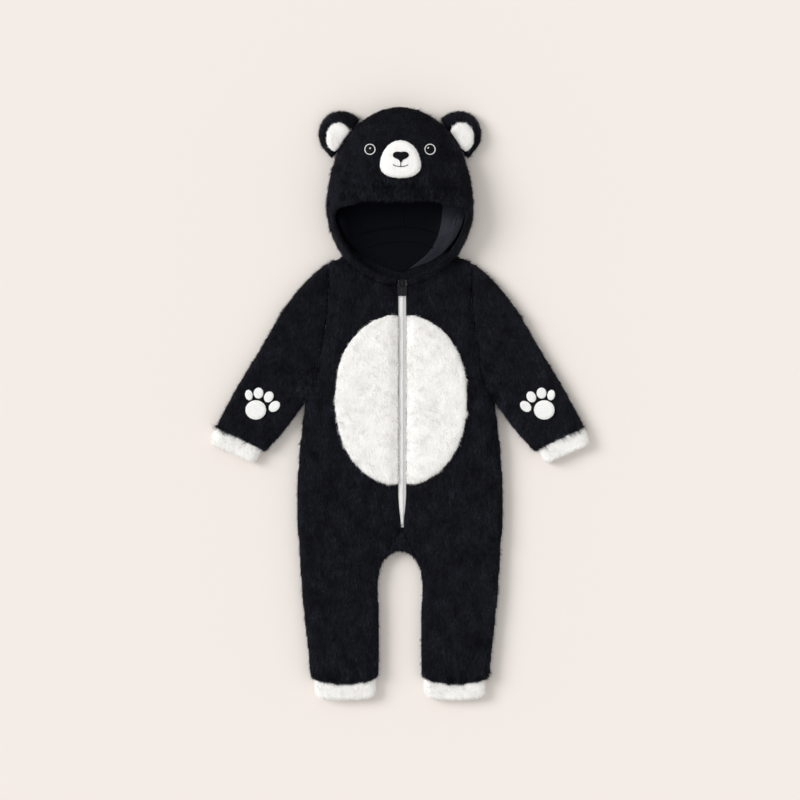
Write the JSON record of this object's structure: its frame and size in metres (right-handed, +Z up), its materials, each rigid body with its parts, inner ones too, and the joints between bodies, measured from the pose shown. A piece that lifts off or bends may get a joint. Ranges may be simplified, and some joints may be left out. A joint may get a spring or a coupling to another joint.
{
  "type": "bear romper",
  "caption": "Baby's hooded plush romper laid flat: long sleeves and legs, white cuffs and belly, front zip, and a bear's ears and face on the open hood.",
  "frame": {"origin": "on the surface it lies on, under the middle of its length and width", "axes": "+Z up out of the garment's front, +Y towards the hood, wearer's right at -X"},
  "size_m": [0.5182, 0.814, 0.0624],
  "materials": {
    "black_plush": "deep-pile plush, matt with a soft sheen",
    "white_plush": "deep-pile plush, matt",
    "white_fleece": "short-pile fleece, matt",
    "white_embroidery": "satin stitch, soft gloss",
    "black_embroidery": "satin stitch, soft gloss",
    "hood_lining": "smooth knitted lining, satin",
    "zip_tape": "woven tape, matt",
    "zip_coil": "nylon coil, satin",
    "zip_enamel": "dark grey enamel, satin"
  },
  "bodies": {
    "garment": {"back": "black_plush", "front_right": "black_plush", "front_left": "black_plush", "gusset": "black_plush", "hood_face": "black_plush", "hood_back": "black_plush", "hood_lining": "hood_lining", "muzzle": "white_fleece", "nose": "black_embroidery", "zip_tape_right": "zip_tape", "zip_tape_left": "zip_tape", "zip_coil": "zip_coil", "zip_slider": "zip_enamel", "sleeve_right": "black_plush", "ear_right": "black_plush", "sleeve_cuff_right": "white_plush", "leg_cuff_right": "white_plush", "belly_right": "white_plush", "inner_ear_right": "white_plush", "eye_right": "white_embroidery", "palm_right": "white_embroidery", "toe_right_1": "white_embroidery", "toe_right_2": "white_embroidery", "toe_right_3": "white_embroidery", "toe_right_4": "white_embroidery", "sleeve_left": "black_plush", "ear_left": "black_plush", "sleeve_cuff_left": "white_plush", "leg_cuff_left": "white_plush", "belly_left": "white_plush", "inner_ear_left": "white_plush", "eye_left": "white_embroidery", "palm_left": "white_embroidery", "toe_left_1": "white_embroidery", "toe_left_2": "white_embroidery", "toe_left_3": "white_embroidery", "toe_left_4": "white_embroidery"},
    "zip_pull": {"zip_pull": "zip_enamel"}
  },
  "joints": [
    {"name": "zip_pull_hinge", "type": "hinge", "parent": "garment", "child": "zip_pull", "pos_m": [0.003, 0.164, 0.02], "axis": [-1, 0, 0], "range_deg": [0, 150]}
  ]
}
